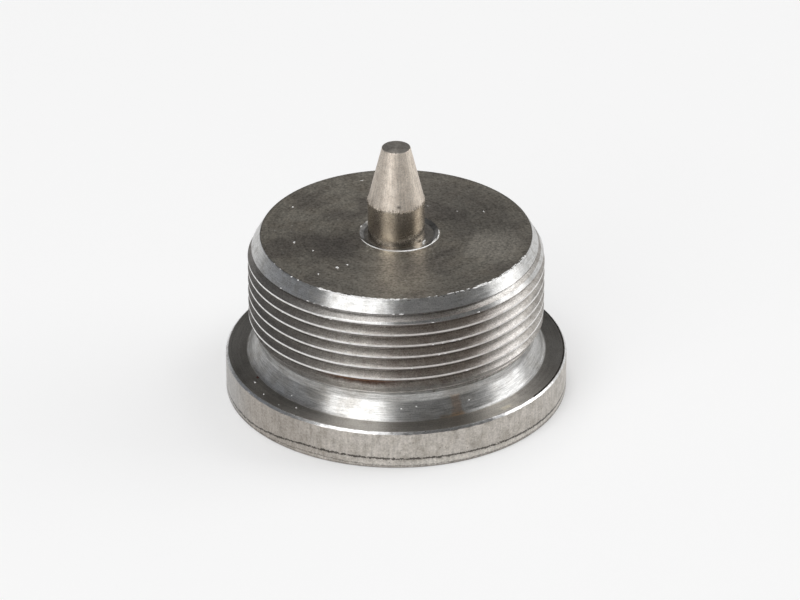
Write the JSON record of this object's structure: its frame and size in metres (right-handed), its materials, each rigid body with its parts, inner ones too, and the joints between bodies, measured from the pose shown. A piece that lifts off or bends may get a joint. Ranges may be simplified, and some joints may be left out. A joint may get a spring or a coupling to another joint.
{
  "type": "threaded plug",
  "caption": "Turned steel screw plug with a round flange, a relief groove, a fine metric thread, a hexagon socket underneath and a blunt tapered pin in its top face.",
  "frame": {"origin": "centre of the flange's flat underside, which the plug stands on", "axes": "+Z along the thread's axis, from the flange towards the tip of the pin; -Y is the front seen in the picture"},
  "size_m": [0.0556, 0.0556, 0.0432],
  "materials": {
    "turned_steel": "bare turned steel, lightly stained, with tool marks and small burrs",
    "pin_steel": "satin ground steel with a warm grey tint"
  },
  "bodies": {
    "root": {"plug_body": "turned_steel", "taper_pin": "pin_steel"}
  },
  "joints": []
}
